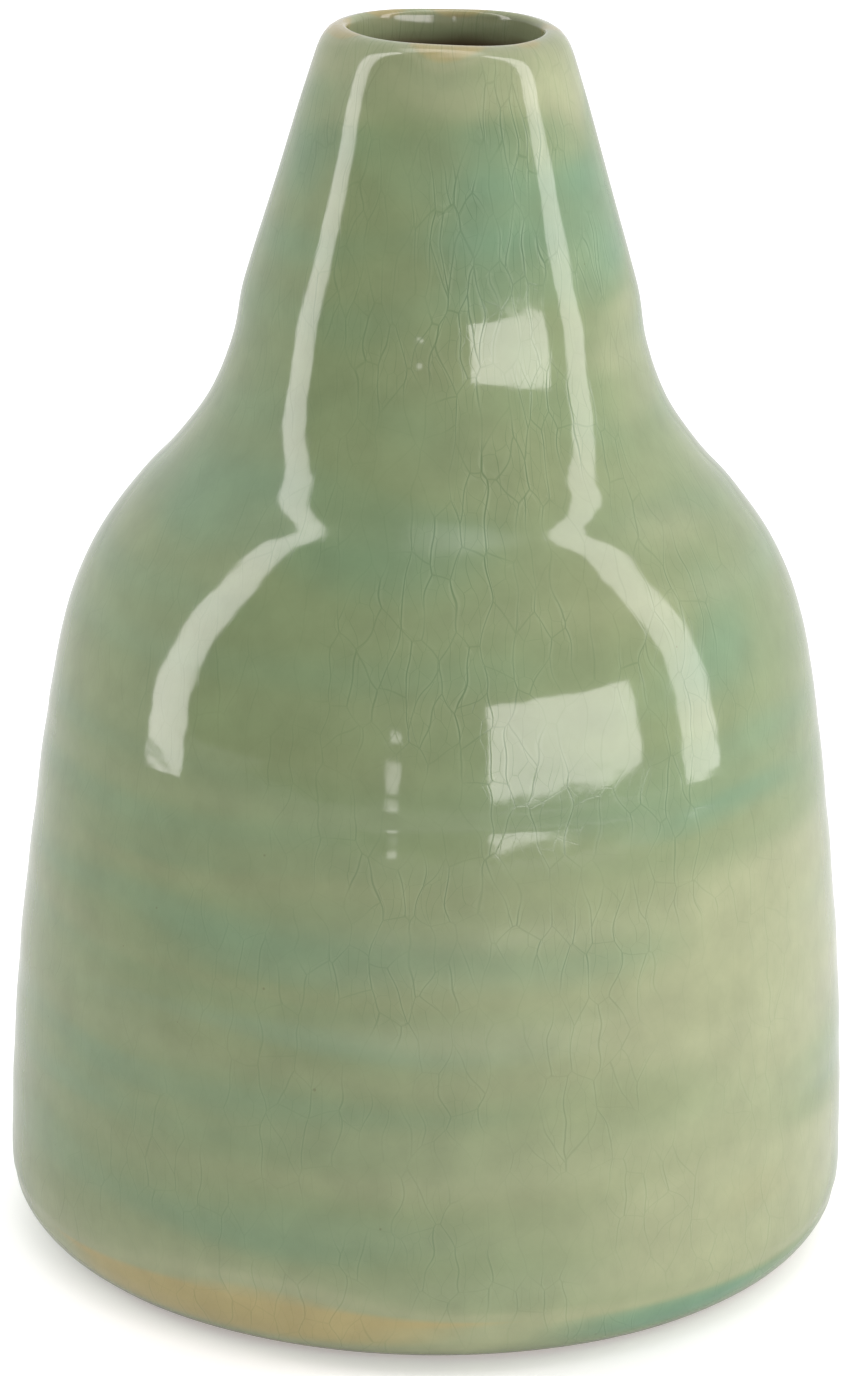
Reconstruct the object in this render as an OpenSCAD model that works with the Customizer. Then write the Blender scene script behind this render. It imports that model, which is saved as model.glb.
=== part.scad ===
// Sake bottle (tokkuri): one thrown and turned stoneware body under two coats of glaze.
// Z = 0 is the table, the axis of the bottle is Z, and all sizes are in millimetres.

/* [Whole bottle] */
// Height from the table to the top of the lip
height = 135; // [125:1:160]
// Width across the glaze at the heel, where the bottle is widest
belly_d = 94.2; // [86:0.2:108]

/* [Foot and heel] */
// Radius of the rounded heel between the wall and the foot
heel_round = 7.5; // [4:0.5:9]
// How far the foot ring stands in from the lowest curve of the heel
foot_in = 0.4; // [0.2:0.1:3]
// Width of the foot ring
foot_ring_w = 6; // [4:0.5:10]
// Depth of the recess turned under the bottle
foot_recess = 1.5; // [0.5:0.25:2.5]
// Angle down the heel at which the glaze stops, from the level of the heel's centre
glaze_stop_angle = 62; // [40:1:70]

/* [Shoulder, neck and lip] */
// Width where the wall turns into the shoulder
spring_d = 83.4; // [78:0.2:86]
// Width at the base of the neck, where it is most upright
neck_d = 43.8; // [39:0.2:49]
// Width of the neck just under the lip
lip_d = 28.2; // [27:0.2:32]
// Height of the rounded lip
lip_h = 3.5; // [3:0.25:5]
// Diameter of the mouth, inside the glaze
mouth_d = 20.8; // [18:0.2:22]
// Length of the straight throat, counted from the top of the lip
throat_h = 9; // [7:0.5:12]

/* [Walls and glaze] */
// Thickness of the wall, with both coats of glaze
wall_t = 4.8; // [4:0.1:6]
// Thickness of the floor over the foot recess, with the lining glaze
floor_t = 6; // [5:0.25:8]
// Radius of the corner inside, between the floor and the wall
floor_round = 10; // [8:1:15]
// Thickness of the celadon glaze on the body
glaze_t = 0.6; // [0.4:0.05:0.8]
// Thickness of the glaze where it thins: at the lip, in the throat and inside
thin_glaze_t = 0.4; // [0.3:0.05:0.5]

/* [Hidden] */
$fn = 160;

belly_r = belly_d / 2;
foot_r = belly_r - heel_round - foot_in;
spring_r = spring_d / 2;
neck_r = neck_d / 2;
lip_r = lip_d / 2;
mouth_r = mouth_d / 2;

// Rounding of the lip where it turns into the throat
crest_round = 0.7;
// Length of the tangents that bend the lip over
lip_pull = 5.2;
// Bevel on the outer edge of the foot ring
foot_bevel = 0.3;
// Height at which the inside of the neck starts to close in towards the throat
collar_z = height - 2.5 * throat_h;
throat_z = height - throat_h;
inner_floor_z = foot_recess + floor_t;
wall_start_z = inner_floor_z + floor_round;

// Steps in each stretch of the outline
wall_steps = 7;
arc_steps = 6;
bead_steps = 4;

// The wall as a potter reads it: height, radius across the glaze, and lean, which is the
// change of radius for each millimetre upwards
STATIONS = [
    [heel_round, belly_r, 0],
    [0.267 * height, 0.97 * belly_r, -0.11],
    [0.489 * height, spring_r, -0.19],
    [0.607 * height, neck_r + 0.66 * (spring_r - neck_r), -0.77],
    [0.681 * height, neck_r + 0.258 * (spring_r - neck_r), -0.76],
    [0.748 * height, neck_r + 0.036 * (spring_r - neck_r), -0.3],
    [0.775 * height, neck_r, -0.13],
    [0.8 * height, lip_r + 0.91 * (neck_r - lip_r), -0.3],
    [0.867 * height, lip_r + 0.565 * (neck_r - lip_r), -0.3],
    [height - lip_h, lip_r, -0.34]
];
LAST = len(STATIONS) - 1;

// A smooth curve from a to b that leaves along ta and arrives along tb, and its direction
function bend(a, ta, b, tb, t) =
    (2 * t ^ 3 - 3 * t ^ 2 + 1) * a + (t ^ 3 - 2 * t ^ 2 + t) * ta
    + (3 * t ^ 2 - 2 * t ^ 3) * b + (t ^ 3 - t ^ 2) * tb;
function bend_dir(a, ta, b, tb, t) =
    (6 * t ^ 2 - 6 * t) * (a - b) + (3 * t ^ 2 - 4 * t + 1) * ta + (3 * t ^ 2 - 2 * t) * tb;

// Radius and lean of the wall between two stations, at the share t of their height
function span(i) = STATIONS[i + 1][0] - STATIONS[i][0];
function wall_r(i, t) =
    bend(STATIONS[i][1], STATIONS[i][2] * span(i), STATIONS[i + 1][1], STATIONS[i + 1][2] * span(i), t);
function wall_lean(i, t) =
    bend_dir(STATIONS[i][1], STATIONS[i][2] * span(i), STATIONS[i + 1][1], STATIONS[i + 1][2] * span(i), t)
    / span(i);
function station_below(z, i = 0) = i >= LAST - 1 || z <= STATIONS[i + 1][0] ? i : station_below(z, i + 1);
function share(z, i) = (z - STATIONS[i][0]) / span(i);

// One point of the outline as [radius, height, outward direction]
function outward(dir) = [dir[1], -dir[0]] / norm(dir);
function wall_at(z) =
    let (i = station_below(z), t = share(z, i))
    [wall_r(i, t), z, outward([wall_lean(i, t), 1])];
function heel_at(angle) =
    [belly_r - heel_round + heel_round * cos(angle), heel_round - heel_round * sin(angle),
     [cos(angle), -sin(angle)]];
function lip_at(t) =
    let (
        a = [lip_r, height - lip_h], b = [mouth_r + crest_round, height],
        ta = lip_pull * [STATIONS[LAST][2], 1] / norm([STATIONS[LAST][2], 1]), tb = lip_pull * [-1, 0],
        p = bend(a, ta, b, tb, t)
    )
    [p[0], p[1], outward(bend_dir(a, ta, b, tb, t))];
function crest_at(angle) =
    [mouth_r + crest_round - crest_round * sin(angle), height - crest_round + crest_round * cos(angle),
     [-sin(angle), cos(angle)]];

// The glazed surface outside, from the glaze's lower edge over the lip to the end of the throat
OUTLINE = [
    for (k = [0:arc_steps - 1]) heel_at(glaze_stop_angle * (1 - k / arc_steps)),
    for (i = [0:LAST - 1], k = [0:wall_steps - 1])
        wall_at(STATIONS[i][0] + span(i) * k / wall_steps),
    for (k = [0:arc_steps]) lip_at(k / arc_steps),
    for (k = [1:arc_steps]) crest_at(90 * k / arc_steps),
    [mouth_r, throat_z, [-1, 0]]
];

// The glaze keeps its full thickness up to the neck and thins to the height of the throat's end
neck_z = STATIONS[LAST - 3][0];
function coat(z) =
    glaze_t + (thin_glaze_t - glaze_t) * max(0, min(1, (z - neck_z) / (throat_z - neck_z)));

// The surfaces that the sub-parts share
glaze_face = [for (p = OUTLINE) [p[0], p[1]]];
clay_face = [for (p = OUTLINE) [p[0], p[1]] - coat(p[1]) * p[2]];

// The hollow: a flat floor, a round corner, the wall at an even thickness, and the neck drawn
// in to the throat. Each point is the lining glaze's surface, with its direction into the clay.
function hollow_r(z) = let (p = wall_at(z)) p[0] - wall_t / p[2][0];
function hollow_lean(z) = let (i = station_below(z)) wall_lean(i, share(z, i));
corner_r = hollow_r(wall_start_z) - floor_round;
corner_pull = 1.65 * floor_round;
neck_in_h = throat_z - collar_z;
HOLLOW = [
    for (k = [0:arc_steps - 1])
        let (
            a = [corner_r, inner_floor_z], b = [hollow_r(wall_start_z), wall_start_z],
            ta = [corner_pull, 0], tb = corner_pull * [hollow_lean(wall_start_z), 1], t = k / arc_steps,
            p = bend(a, ta, b, tb, t)
        )
        [p[0], p[1], outward(bend_dir(a, ta, b, tb, t))],
    for (k = [0:4 * wall_steps - 1])
        let (z = wall_start_z + (collar_z - wall_start_z) * k / (4 * wall_steps))
        [hollow_r(z), z, outward([hollow_lean(z), 1])],
    for (k = [0:arc_steps])
        let (
            t = k / arc_steps, lean = hollow_lean(collar_z) * neck_in_h,
            r = bend(hollow_r(collar_z), lean, mouth_r, 0, t),
            dr = bend_dir(hollow_r(collar_z), lean, mouth_r, 0, t)
        )
        [r, collar_z + neck_in_h * t, outward([dr, neck_in_h])]
];
lining_face = [for (p = HOLLOW) [p[0], p[1]]];
lined_clay_face = [for (p = HOLLOW) [p[0], p[1]] + thin_glaze_t * p[2]];
function reversed(list) = [for (i = [len(list) - 1:-1:0]) list[i]];

// The bare clay below the glaze, round the heel from its lowest curve
clay_heel_round = heel_round - glaze_t;
bare_heel = [
    for (k = [0:arc_steps - 1])
        let (angle = 90 + (glaze_stop_angle - 90) * k / arc_steps)
        [belly_r - heel_round + clay_heel_round * cos(angle), heel_round - clay_heel_round * sin(angle)]
];

// Rolled lower edge of the glaze, a half round between its two faces
bead_centre = (glaze_face[0] + clay_face[0]) / 2;
bead = [
    for (k = [1:bead_steps - 1])
        let (turn = 180 * k / bead_steps - glaze_stop_angle)
        bead_centre - glaze_t / 2 * [cos(turn), sin(turn)]
];

// Fired clay: foot ring, wall, floor and neck in one piece
module stoneware_body() {
    color("#b08a63")
        rotate_extrude()
            polygon(concat(
                [
                    [0, foot_recess],
                    [foot_r - foot_ring_w - foot_recess, foot_recess],
                    [foot_r - foot_ring_w, 0],
                    [foot_r - foot_bevel, 0],
                    [foot_r, foot_bevel],
                    [foot_r, glaze_t]
                ],
                bare_heel,
                clay_face,
                reversed(lined_clay_face),
                [[0, inner_floor_z - thin_glaze_t]]
            ));
}

// Crackled celadon glaze outside, over the lip and down the throat
module celadon_glaze() {
    color("#a7b78f")
        rotate_extrude()
            polygon(concat(glaze_face, reversed(clay_face), bead));
}

// Coat inside the hollow, which meets the outer glaze at the end of the throat
module lining_glaze() {
    color("#8c9a6c")
        rotate_extrude()
            polygon(concat(
                [[0, inner_floor_z - thin_glaze_t]],
                lined_clay_face,
                reversed(lining_face),
                [[0, inner_floor_z]]
            ));
}

stoneware_body();
celadon_glaze();
lining_glaze();
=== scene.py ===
import logging
import math
from dataclasses import dataclass, field
from enum import Enum
from typing import Protocol

import bpy
import numpy as np
from mathutils import Matrix, Vector


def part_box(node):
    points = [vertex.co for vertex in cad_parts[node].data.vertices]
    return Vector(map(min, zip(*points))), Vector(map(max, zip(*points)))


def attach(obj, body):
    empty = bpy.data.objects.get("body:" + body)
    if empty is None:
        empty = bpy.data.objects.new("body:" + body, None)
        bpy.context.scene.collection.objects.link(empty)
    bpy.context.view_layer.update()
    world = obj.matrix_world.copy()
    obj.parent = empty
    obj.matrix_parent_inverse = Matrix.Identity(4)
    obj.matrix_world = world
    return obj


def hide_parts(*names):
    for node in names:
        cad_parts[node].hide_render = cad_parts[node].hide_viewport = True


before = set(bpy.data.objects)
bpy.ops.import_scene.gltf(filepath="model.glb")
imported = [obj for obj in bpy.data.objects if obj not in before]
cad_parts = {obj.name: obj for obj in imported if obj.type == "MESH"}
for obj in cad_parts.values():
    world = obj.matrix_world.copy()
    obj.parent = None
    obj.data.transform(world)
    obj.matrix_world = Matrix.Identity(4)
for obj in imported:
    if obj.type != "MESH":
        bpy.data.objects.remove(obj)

LOG = logging.getLogger("sake_bottle")
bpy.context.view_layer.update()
MM = 0.001
TURN = 2 * math.pi
# Length in millimetres below which a point is on the axis, or a line has no height
NO_LENGTH = 1e-6
# Keeps a division from failing where two points meet
TINY = 1e-9

Colour = tuple[float, float, float]
Array = np.ndarray
Socket = bpy.types.NodeSocket


class Channel(Enum):
    """Names of the values painted on each vertex."""

    DEPTH = "glaze_depth"
    WARMTH = "glaze_warmth"
    CRACKS = "crack_strength"
    BROWNING = "browning"


# ---------------------------------------------------------------- outlines


@dataclass
class Section:
    """Outline of a CAD node where its seam cuts the half plane through the axis, in millimetres.

    The points run so that the solid lies on their left, and an outline that starts and ends on
    the axis is open. Points nearer together than merge are one, a point nearer than straight to
    the line past it is dropped, and seam is how near the half plane the seam's points lie.
    """

    node: str
    merge: float = 0.015
    straight: float = 0.004
    seam: float = 0.001
    levels: int = 500
    points: Array = field(init=False)
    closed: bool = field(init=False)

    def __post_init__(self) -> None:
        """Reads the node's mesh and walks along its seam."""
        place, edges = self._seam()
        links = self._links(place, edges)
        ends = [i for i, near in links.items() if len(near) == 1]
        self.closed = not ends
        order = self._walk(links, ends[0] if ends else min(links))
        points = place[order]
        if not self.closed:
            first, last = points[0], points[-1]
            points = np.vstack([[0.0, first[1]], points, [0.0, last[1]]])
        self.points = self._oriented(self._without_midpoints(points))

    def _seam(self) -> tuple[Array, Array]:
        """Finds the points and edges on the seam.

        Returns:
            Radius and height of each point, and the pairs of points that edges join.
        """
        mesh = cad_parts[self.node].data
        place = np.empty(len(mesh.vertices) * 3, np.float32)
        mesh.vertices.foreach_get("co", place)
        place = place.reshape(-1, 3).astype(float) / MM
        edges = np.empty(len(mesh.edges) * 2, np.int32)
        mesh.edges.foreach_get("vertices", edges)
        edges = edges.reshape(-1, 2)
        on_seam = (np.abs(place[:, 1]) < self.seam) & (place[:, 0] > -self.seam)
        edges = edges[on_seam[edges].all(axis=1)]
        return place[:, [0, 2]], edges

    def _links(self, place: Array, edges: Array) -> dict[int, set[int]]:
        """Joins points that lie together, since each face brings its own copy.

        Args:
            place: Radius and height of each point.
            edges: Pairs of points that edges join.

        Returns:
            The neighbours of each point.
        """
        kept: list[int] = []
        stands_for: dict[int, int] = {}
        for i in np.unique(edges):
            near = [k for k in kept if np.abs(place[k] - place[i]).max() < self.merge]
            stands_for[int(i)] = near[0] if near else int(i)
            if not near:
                kept.append(int(i))
        links: dict[int, set[int]] = {}
        for a, b in edges:
            a, b = stands_for[int(a)], stands_for[int(b)]
            if a != b:
                links.setdefault(a, set()).add(b)
                links.setdefault(b, set()).add(a)
        return links

    @staticmethod
    def _walk(links: dict[int, set[int]], start: int) -> list[int]:
        """Follows the links from start until no new point is left.

        Args:
            links: The neighbours of each point.
            start: The first point.

        Returns:
            The points in order.
        """
        order, seen = [start], {start}
        while True:
            ahead = sorted(links[order[-1]] - seen)
            if not ahead:
                return order
            order.append(ahead[0])
            seen.add(ahead[0])

    def _without_midpoints(self, points: Array) -> Array:
        """Drops points that only cut a straight line in two.

        Args:
            points: Radius and height of each point.

        Returns:
            The points that are left.
        """
        kept = list(range(len(points)))
        k = 1
        while k < len(kept) - 1:
            a, p, b = points[kept[k - 1]], points[kept[k]], points[kept[k + 1]]
            along = (b - a) / max(np.linalg.norm(b - a), TINY)
            off = abs((p - a)[0] * along[1] - (p - a)[1] * along[0])
            if off < self.straight:
                kept.pop(k)
            else:
                k += 1
        return points[kept]

    @staticmethod
    def _oriented(points: Array) -> Array:
        """Turns the outline round if the solid isn't on its left.

        Args:
            points: Radius and height of each point.

        Returns:
            The same points, in the right order.
        """
        nxt = np.roll(points, -1, axis=0)
        area = (points[:, 0] * nxt[:, 1] - nxt[:, 0] * points[:, 1]).sum()
        return points if area > 0 else points[::-1]

    def shared_with(self, other: "Section") -> Array:
        """Tells for each point whether the other section has it too."""
        apart = np.linalg.norm(self.points[:, None] - other.points[None], axis=2)
        return apart.min(axis=1) < 2 * self.merge

    def radius_at(self, height: Array, outer: bool) -> Array:
        """Radius of the outermost or innermost point at each height.

        Args:
            height: Heights in millimetres.
            outer: True for the outermost.

        Returns:
            The radii, in millimetres.
        """
        levels = np.linspace(self.points[:, 1].min(), self.points[:, 1].max(), self.levels)
        a, b = self.points, np.roll(self.points, -1, axis=0)
        found = np.full(len(levels), np.nan)
        for (r0, z0), (r1, z1) in zip(a, b):
            low, high = min(z0, z1), max(z0, z1)
            if high - low < NO_LENGTH:
                continue
            on = (levels >= low - TINY) & (levels <= high + TINY)
            r = r0 + (r1 - r0) * (levels[on] - z0) / (z1 - z0)
            found[on] = np.fmax(found[on], r) if outer else np.fmin(found[on], r)
        return np.interp(height, levels, np.nan_to_num(found, nan=0.0))


@dataclass
class Curve:
    """A section refined to smooth, closely spaced points.

    Points marked hidden lie under another piece and are spaced more widely. The outline stays
    sharp where it turns by more than corner_deg.
    """

    section: Section
    hidden: Array
    seen_step: float
    hidden_step: float = 3.0
    corner_deg: float = 35.0
    points: Array = field(init=False)
    hard: Array = field(init=False)

    def __post_init__(self) -> None:
        """Divides each stretch between two corners."""
        p = self.section.points
        n = len(p)
        closed = self.section.closed
        step = np.roll(p, -1, axis=0) - p
        length = np.linalg.norm(step, axis=1)
        way = step / np.maximum(length, TINY)[:, None]
        before = np.roll(way, 1, axis=0)
        turn = np.degrees(np.arccos(np.clip((way * before).sum(axis=1), -1, 1)))
        corner = turn > self.corner_deg
        if not closed:
            corner[0] = corner[-1] = True
        tangent = self._tangents(way, before, length, corner)
        points: list[Array] = []
        hard: list[bool] = []
        for i in range(n if closed else n - 1):
            j = (i + 1) % n
            out_of = way[i] if corner[i] else tangent[i]
            into = way[i] if corner[j] else tangent[j]
            spacing = self.hidden_step if self.hidden[i] and self.hidden[j] else self.seen_step
            count = max(1, math.ceil(length[i] / spacing))
            t = np.arange(count)[:, None] / count
            points.extend(self._bend(p[i], p[j], out_of * length[i], into * length[i], t))
            hard.extend([bool(corner[i])] + [False] * (count - 1))
        if not closed:
            points.append(p[-1])
            hard.append(True)
        self.points = np.array(points)
        self.hard = np.array(hard)

    @staticmethod
    def _tangents(way: Array, before: Array, length: Array, corner: Array) -> Array:
        """Finds the direction of the curve at each point.

        Args:
            way: Direction of the line after each point.
            before: Direction of the line before each point.
            length: Length of the line after each point.
            corner: Which points are corners.

        Returns:
            The directions, in which the shorter of the two lines counts for more.
        """
        ahead = length[:, None]
        behind = np.roll(length, 1)[:, None]
        mixed = (before * ahead + way * behind) / (ahead + behind)
        return np.where(corner[:, None], way, mixed)

    @staticmethod
    def _bend(a: Array, b: Array, ta: Array, tb: Array, t: Array) -> Array:
        """Bends a line into a cubic curve.

        Args:
            a: Its start.
            b: Its end.
            ta: How it leaves the start.
            tb: How it arrives at the end.
            t: Shares of the way, from 0 to 1.

        Returns:
            The point at each share.
        """
        return (
            (2 * t**3 - 3 * t**2 + 1) * a
            + (t**3 - 2 * t**2 + t) * ta
            + (3 * t**2 - 2 * t**3) * b
            + (t**3 - t**2) * tb
        )


# ---------------------------------------------------------------- the potter's hand


def smooth(x: Array, low: float, high: float) -> Array:
    """Rises from 0 at low to 1 at high, and falls where low is above high."""
    t = np.clip((x - low) / (high - low), 0, 1)
    return t * t * (3 - 2 * t)


def hump(x: Array, centre: float, width: float) -> Array:
    """A rounded hump of height 1."""
    return np.exp(-(((x - centre) / width) ** 2))


def step_over(x: Array, centre: float, width: float) -> Array:
    """Dips before the centre and rises after it, by 0.43 each way."""
    t = (x - centre) / width
    return t * np.exp(-(t**2))


def drop(x: Array, centre: Array, width: float) -> Array:
    """Rises from -1 to 1 at the centre, and dies away over nine widths on both sides."""
    t = (x - centre) / width
    return np.tanh(t) * np.exp(-((t / 7) ** 2))


@dataclass
class Drift:
    """A smooth uneven field round the bottle, made of waves that close on themselves."""

    seed: int
    most_round: int
    shortest_up: float
    waves: int = 28

    def at(self, angle: Array, height: Array) -> Array:
        """Value of the field, spread round 0 by about 1.

        Args:
            angle: Angles round the axis, in radians.
            height: Heights, in millimetres.

        Returns:
            The value at each point.
        """
        draw = np.random.default_rng(self.seed)
        total = np.zeros_like(angle)
        for _ in range(self.waves):
            rounds = int(draw.integers(0, self.most_round + 1))
            rise = draw.uniform(-TURN, TURN) / self.shortest_up
            total += np.cos(rounds * angle + rise * height + draw.uniform(0, TURN))
        return total * math.sqrt(2 / self.waves)


@dataclass(frozen=True)
class Zone:
    """Heights at which an effect starts, is full, starts to fade and is gone."""

    start: float
    full: float
    fading: float
    gone: float

    def share(self, z: Array) -> Array:
        """How much of the effect there is at each height, from 0 to 1."""
        return smooth(z, self.start, self.full) * smooth(z, self.gone, self.fading)


@dataclass
class Hand:
    """How far the thrown and turned pot strays from a perfect figure of revolution.

    Angles are counted from the front, positive to the right, and all lengths are millimetres.
    A zone holds the heights at which a mark is seen. Every piece is moved by the same field, so
    faces that meet stay together.
    """

    outside: Section
    inside: Section
    height: float
    ring_zone: Zone = Zone(9, 18, 56, 66)
    ring_pitch: float = 9.4
    ring_depth: float = 0.032
    ring_crest: float = 42.3
    ripple_zone: Zone = Zone(3, 9, 120, 132)
    ripple_pitch: float = 5.5
    ripple_depth: float = 0.007
    ledge_z: float = 87.0
    ledge: float = 0.25
    spring_z: float = 60.2
    spring: float = 0.05
    crease_z: float = 6.0
    crease: float = 0.16
    sway_zone: Zone = Zone(4, 20, 122, 133)
    sway: float = 0.05
    flutter: float = 0.012
    oval: float = 0.14
    lip_tilt: float = 0.34
    lip_wave: float = 0.10
    inner_zone: Zone = Zone(14, 30, 104, 126)
    inner_pitch: float = 7.0
    inner_depth: float = 0.3
    thinnest: float = 0.5
    creep_deg: float = 3.5
    slow: Drift = field(default_factory=lambda: Drift(11, 4, 30.0))
    quick: Drift = field(default_factory=lambda: Drift(12, 7, 13.0))
    heel_r: float = field(init=False)
    heel_z: float = field(init=False)

    def __post_init__(self) -> None:
        """Finds the centre of the heel's curve, which starts at the widest point."""
        radius, self.heel_z = self.outside.points[np.argmax(self.outside.points[:, 0])]
        self.heel_r = radius - self.heel_z

    def outer_relief(self, angle: Array, z: Array) -> Array:
        """Adds up the relief of the outer wall.

        Args:
            angle: Angles from the front, in radians.
            z: Heights.

        Returns:
            How far each point moves outwards.
        """
        slow = self.slow.at(angle, z)
        wander = 0.5 * slow
        relief = self._rings(angle, z, wander) + self._ledges(z, wander)
        relief += self.sway * self.sway_zone.share(z) * slow
        relief += self.flutter * smooth(z, 2, 10) * self.quick.at(angle, z)
        return relief + self.oval * np.cos(2 * angle + 0.6) * smooth(z, 1, 30)

    def _rings(self, angle: Array, z: Array, wander: Array) -> Array:
        """Throwing rings and finer ripples, which climb as they go round.

        Args:
            angle: Angles from the front, in radians.
            z: Heights.
            wander: How far the rings stray from their level.

        Returns:
            Their relief, outwards.
        """
        climb = angle / TURN
        rings = np.sin(TURN * ((z - self.ring_crest + wander) / self.ring_pitch - 0.25 * climb))
        ripple = np.sin(TURN * ((z + wander) / self.ripple_pitch - climb))
        smoothed = 0.25 + 0.75 * smooth(z, 105, 80)
        relief = self.ring_zone.share(z) * self.ring_depth * rings
        return relief + self.ripple_zone.share(z) * smoothed * self.ripple_depth * ripple

    def _ledges(self, z: Array, wander: Array) -> Array:
        """Marks of the turning tool: the shoulder's spring, the neck's ledge and the heel's crease.

        Args:
            z: Heights.
            wander: How far the marks stray from their level.

        Returns:
            Their relief, outwards.
        """
        relief = self.spring * step_over(z, self.spring_z + 0.3 * wander, 0.8)
        relief -= self.ledge * drop(z, self.ledge_z + 0.3 * wander, 1.3)
        return relief - self.crease * hump(z, self.crease_z + 0.25 * wander, 0.5)

    def inner_relief(self, angle: Array, z: Array) -> Array:
        """Throwing rings left inside the hollow, outwards."""
        rings = np.sin(TURN * z / self.inner_pitch + angle)
        return self.inner_zone.share(z) * self.inner_depth * rings

    def shift(self, angle: Array, r: Array, z: Array) -> tuple[Array, Array]:
        """Moves points as the hand would.

        Args:
            angle: Angles from the front, in radians.
            r: Radii.
            z: Heights.

        Returns:
            The new radii and heights.
        """
        out = self.outside.radius_at(z, outer=True)
        inn = self.inside.radius_at(z, outer=False)
        share = np.clip((r - inn) / np.maximum(out - inn, self.thinnest), 0, 1)
        relief = share * self.outer_relief(angle, z) + (1 - share) * self.inner_relief(angle, z)
        # The foot stands flat, the lip stays round, and the floor keeps still on the axis
        relief *= Zone(0.2, 2.0, self.height - 6, self.height + 1.5).share(z)
        relief *= smooth(r, 2, 8)
        return self._creep(angle, r + relief, z + self._lift(angle, z))

    def _lift(self, angle: Array, z: Array) -> Array:
        """Waves and tilts the lip.

        Args:
            angle: Angles from the front, in radians.
            z: Heights.

        Returns:
            How far each point moves upwards.
        """
        wave = np.cos(2 * angle + 1.9) + 0.6 * np.cos(3 * angle) + 0.4 * np.cos(5 * angle)
        lift = self.lip_wave * wave - self.lip_tilt * (np.cos(angle - 0.4) + 0.25)
        return lift * smooth(z, self.height - 14, self.height - 1)

    def _creep(self, angle: Array, r: Array, z: Array) -> tuple[Array, Array]:
        """Lets the lower edge of the glaze wander round the curve of the heel.

        Args:
            angle: Angles from the front, in radians.
            r: Radii.
            z: Heights.

        Returns:
            The new radii and heights.
        """
        # Place on the curve: degrees below the level of its centre, and distance from the centre
        below, beyond = self.heel_z - z, r - self.heel_r
        down = np.degrees(np.arctan2(below, np.maximum(beyond, NO_LENGTH)))
        far = np.hypot(beyond, below)
        near = smooth(far, 3.5, 6.5) * (beyond > 0) * (below > 0)
        weight = near * Zone(25, 55, 70, 88).share(down)
        waves = np.cos(angle + 0.4) + 0.6 * np.sin(3 * angle) + 0.5 * np.cos(7 * angle + 1)
        turned = np.radians(down + weight * self.creep_deg * waves)
        moved = weight > 0
        new_r = np.where(moved, self.heel_r + far * np.cos(turned), r)
        new_z = np.where(moved, self.heel_z - far * np.sin(turned), z)
        return new_r, new_z


# ---------------------------------------------------------------- painting


@dataclass(frozen=True)
class Wash:
    """A soft-edged patch: its middle, half sizes in degrees and millimetres, and strength."""

    angle: float
    height: float
    wide: float
    tall: float
    strength: float

    def on(self, angle_deg: Array, z: Array) -> Array:
        """Lays the patch on the wall.

        Args:
            angle_deg: Angles from the front, in degrees.
            z: Heights, in millimetres.

        Returns:
            Strength of the patch at each point.
        """
        away = (angle_deg - self.angle + 180) % 360 - 180
        reach = (away / self.wide) ** 2 + ((z - self.height) / self.tall) ** 2
        return self.strength * np.exp(-(reach**1.6))


DEEP_POOLS = (
    Wash(59, 117, 22, 10, 0.95),
    Wash(18, 117, 20, 11, 0.85),
    Wash(-57, 118, 16, 9, 0.35),
    Wash(-52, 87, 20, 9, 0.5),
    Wash(-6, 85.5, 24, 5, 0.45),
    Wash(27, 80, 16, 9, -0.45),
    Wash(12, 92, 30, 4, -0.4),
    Wash(54, 75, 9, 7, 0.45),
    Wash(47, 58.5, 16, 2.4, 0.6),
    Wash(-18, 46.8, 50, 2.1, 0.5),
    Wash(4, 37.7, 42, 1.4, 0.8),
    Wash(-40, 36.5, 20, 1.2, 0.5),
    Wash(-15, 29, 40, 1.2, 0.25),
    Wash(-20, 51.8, 65, 1.8, -0.6),
    Wash(-10, 42.4, 80, 1.3, -0.6),
    Wash(0, 33.3, 90, 1.8, -0.5),
    Wash(0, 21, 90, 2.2, -0.4),
    Wash(25, 24, 18, 9, -0.3),
    Wash(-52, 24, 12, 8, 0.35),
    Wash(-17, 15.5, 26, 2.6, 0.35),
    Wash(34, 4.6, 21, 2.0, 1.7),
    Wash(150, 96, 40, 12, 0.8),
    Wash(-130, 112, 30, 9, 0.7),
    Wash(-160, 60, 40, 6, 0.6),
    Wash(110, 30, 30, 7, 0.5),
    Wash(160, 4.4, 50, 1.7, 1.3),
    Wash(-110, 4.4, 24, 1.7, 1.1),
)

WARM_PATCHES = (
    Wash(60, 40, 26, 14, 0.75),
    Wash(52, 13, 26, 7, 0.85),
    Wash(25, 30, 40, 26, 0.42),
    Wash(66, 101, 18, 6, 0.5),
    Wash(-28, 5, 46, 4.2, 1.4),
    Wash(0, 136.0, 500, 2.0, 1.2),
    Wash(0, 132.0, 500, 3.6, 0.6),
    Wash(55, 128, 20, 5, 0.4),
    Wash(55, 88, 16, 8, 0.4),
    Wash(-35, 12, 24, 4, 0.3),
    Wash(-150, 34, 40, 12, 0.6),
    Wash(120, 70, 30, 12, 0.5),
    Wash(170, 14, 40, 6, 0.7),
)

CRACKED_PATCHES = (
    Wash(20, 113, 26, 16, 0.8),
    Wash(17, 78, 32, 20, 0.45),
    Wash(10, 52, 30, 12, 0.25),
    Wash(-50, 60, 34, 60, -0.25),
    Wash(75, 40, 30, 50, -0.25),
    Wash(-160, 100, 50, 25, 0.4),
)


class Paint(Protocol):
    """What gives the vertices of a piece their values."""

    def channels(self, angle: Array, r: Array, z: Array) -> dict[Channel, Array]:
        """Values of each channel, from angle, radius and height of each point."""


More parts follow.
